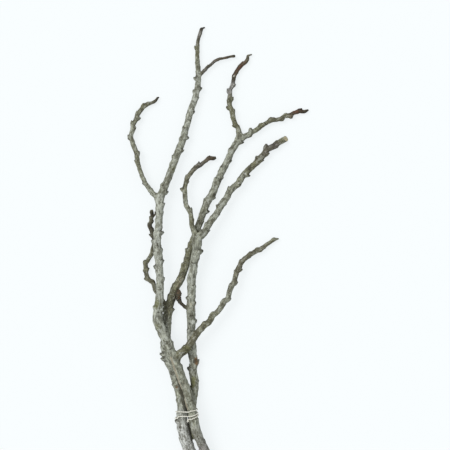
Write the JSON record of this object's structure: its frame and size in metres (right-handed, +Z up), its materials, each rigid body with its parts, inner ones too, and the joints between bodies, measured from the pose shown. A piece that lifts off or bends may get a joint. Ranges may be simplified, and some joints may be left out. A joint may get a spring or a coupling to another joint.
{
  "type": "tied bunch of cut branches",
  "caption": "Bunch of knobbly bare cut branches lying flat, held near their cut ends by a winding of string.",
  "frame": {"origin": "middle of the bunch's outline, on the surface it lies on", "axes": "+Y from the cut ends to the tips, +X to the right seen from above with the tips away, +Z up"},
  "size_m": [0.2723, 0.6637, 0.0308],
  "materials": {
    "stem_bark": "matt weathered grey bark",
    "shoot_bark": "matt olive-grey young bark",
    "twig_bark": "matt dark brown twig bark",
    "string": "matt twisted natural fibre"
  },
  "bodies": {
    "root": {"upper_branch_stem": "stem_bark", "upper_branch_main_limb": "stem_bark", "upper_branch_leader": "stem_bark", "upper_branch_left_shoot": "shoot_bark", "upper_branch_side_twig": "twig_bark", "upper_branch_right_shoot": "shoot_bark", "middle_branch_stem": "stem_bark", "middle_branch_cut_shoot": "shoot_bark", "middle_branch_curled_shoot": "shoot_bark", "middle_branch_spur_twig": "twig_bark", "lower_branch_stem": "stem_bark", "lower_branch_left_shoot": "shoot_bark", "lower_branch_right_shoot": "shoot_bark", "lower_branch_wavy_shoot": "twig_bark", "string_tie": "string"}
  },
  "joints": []
}
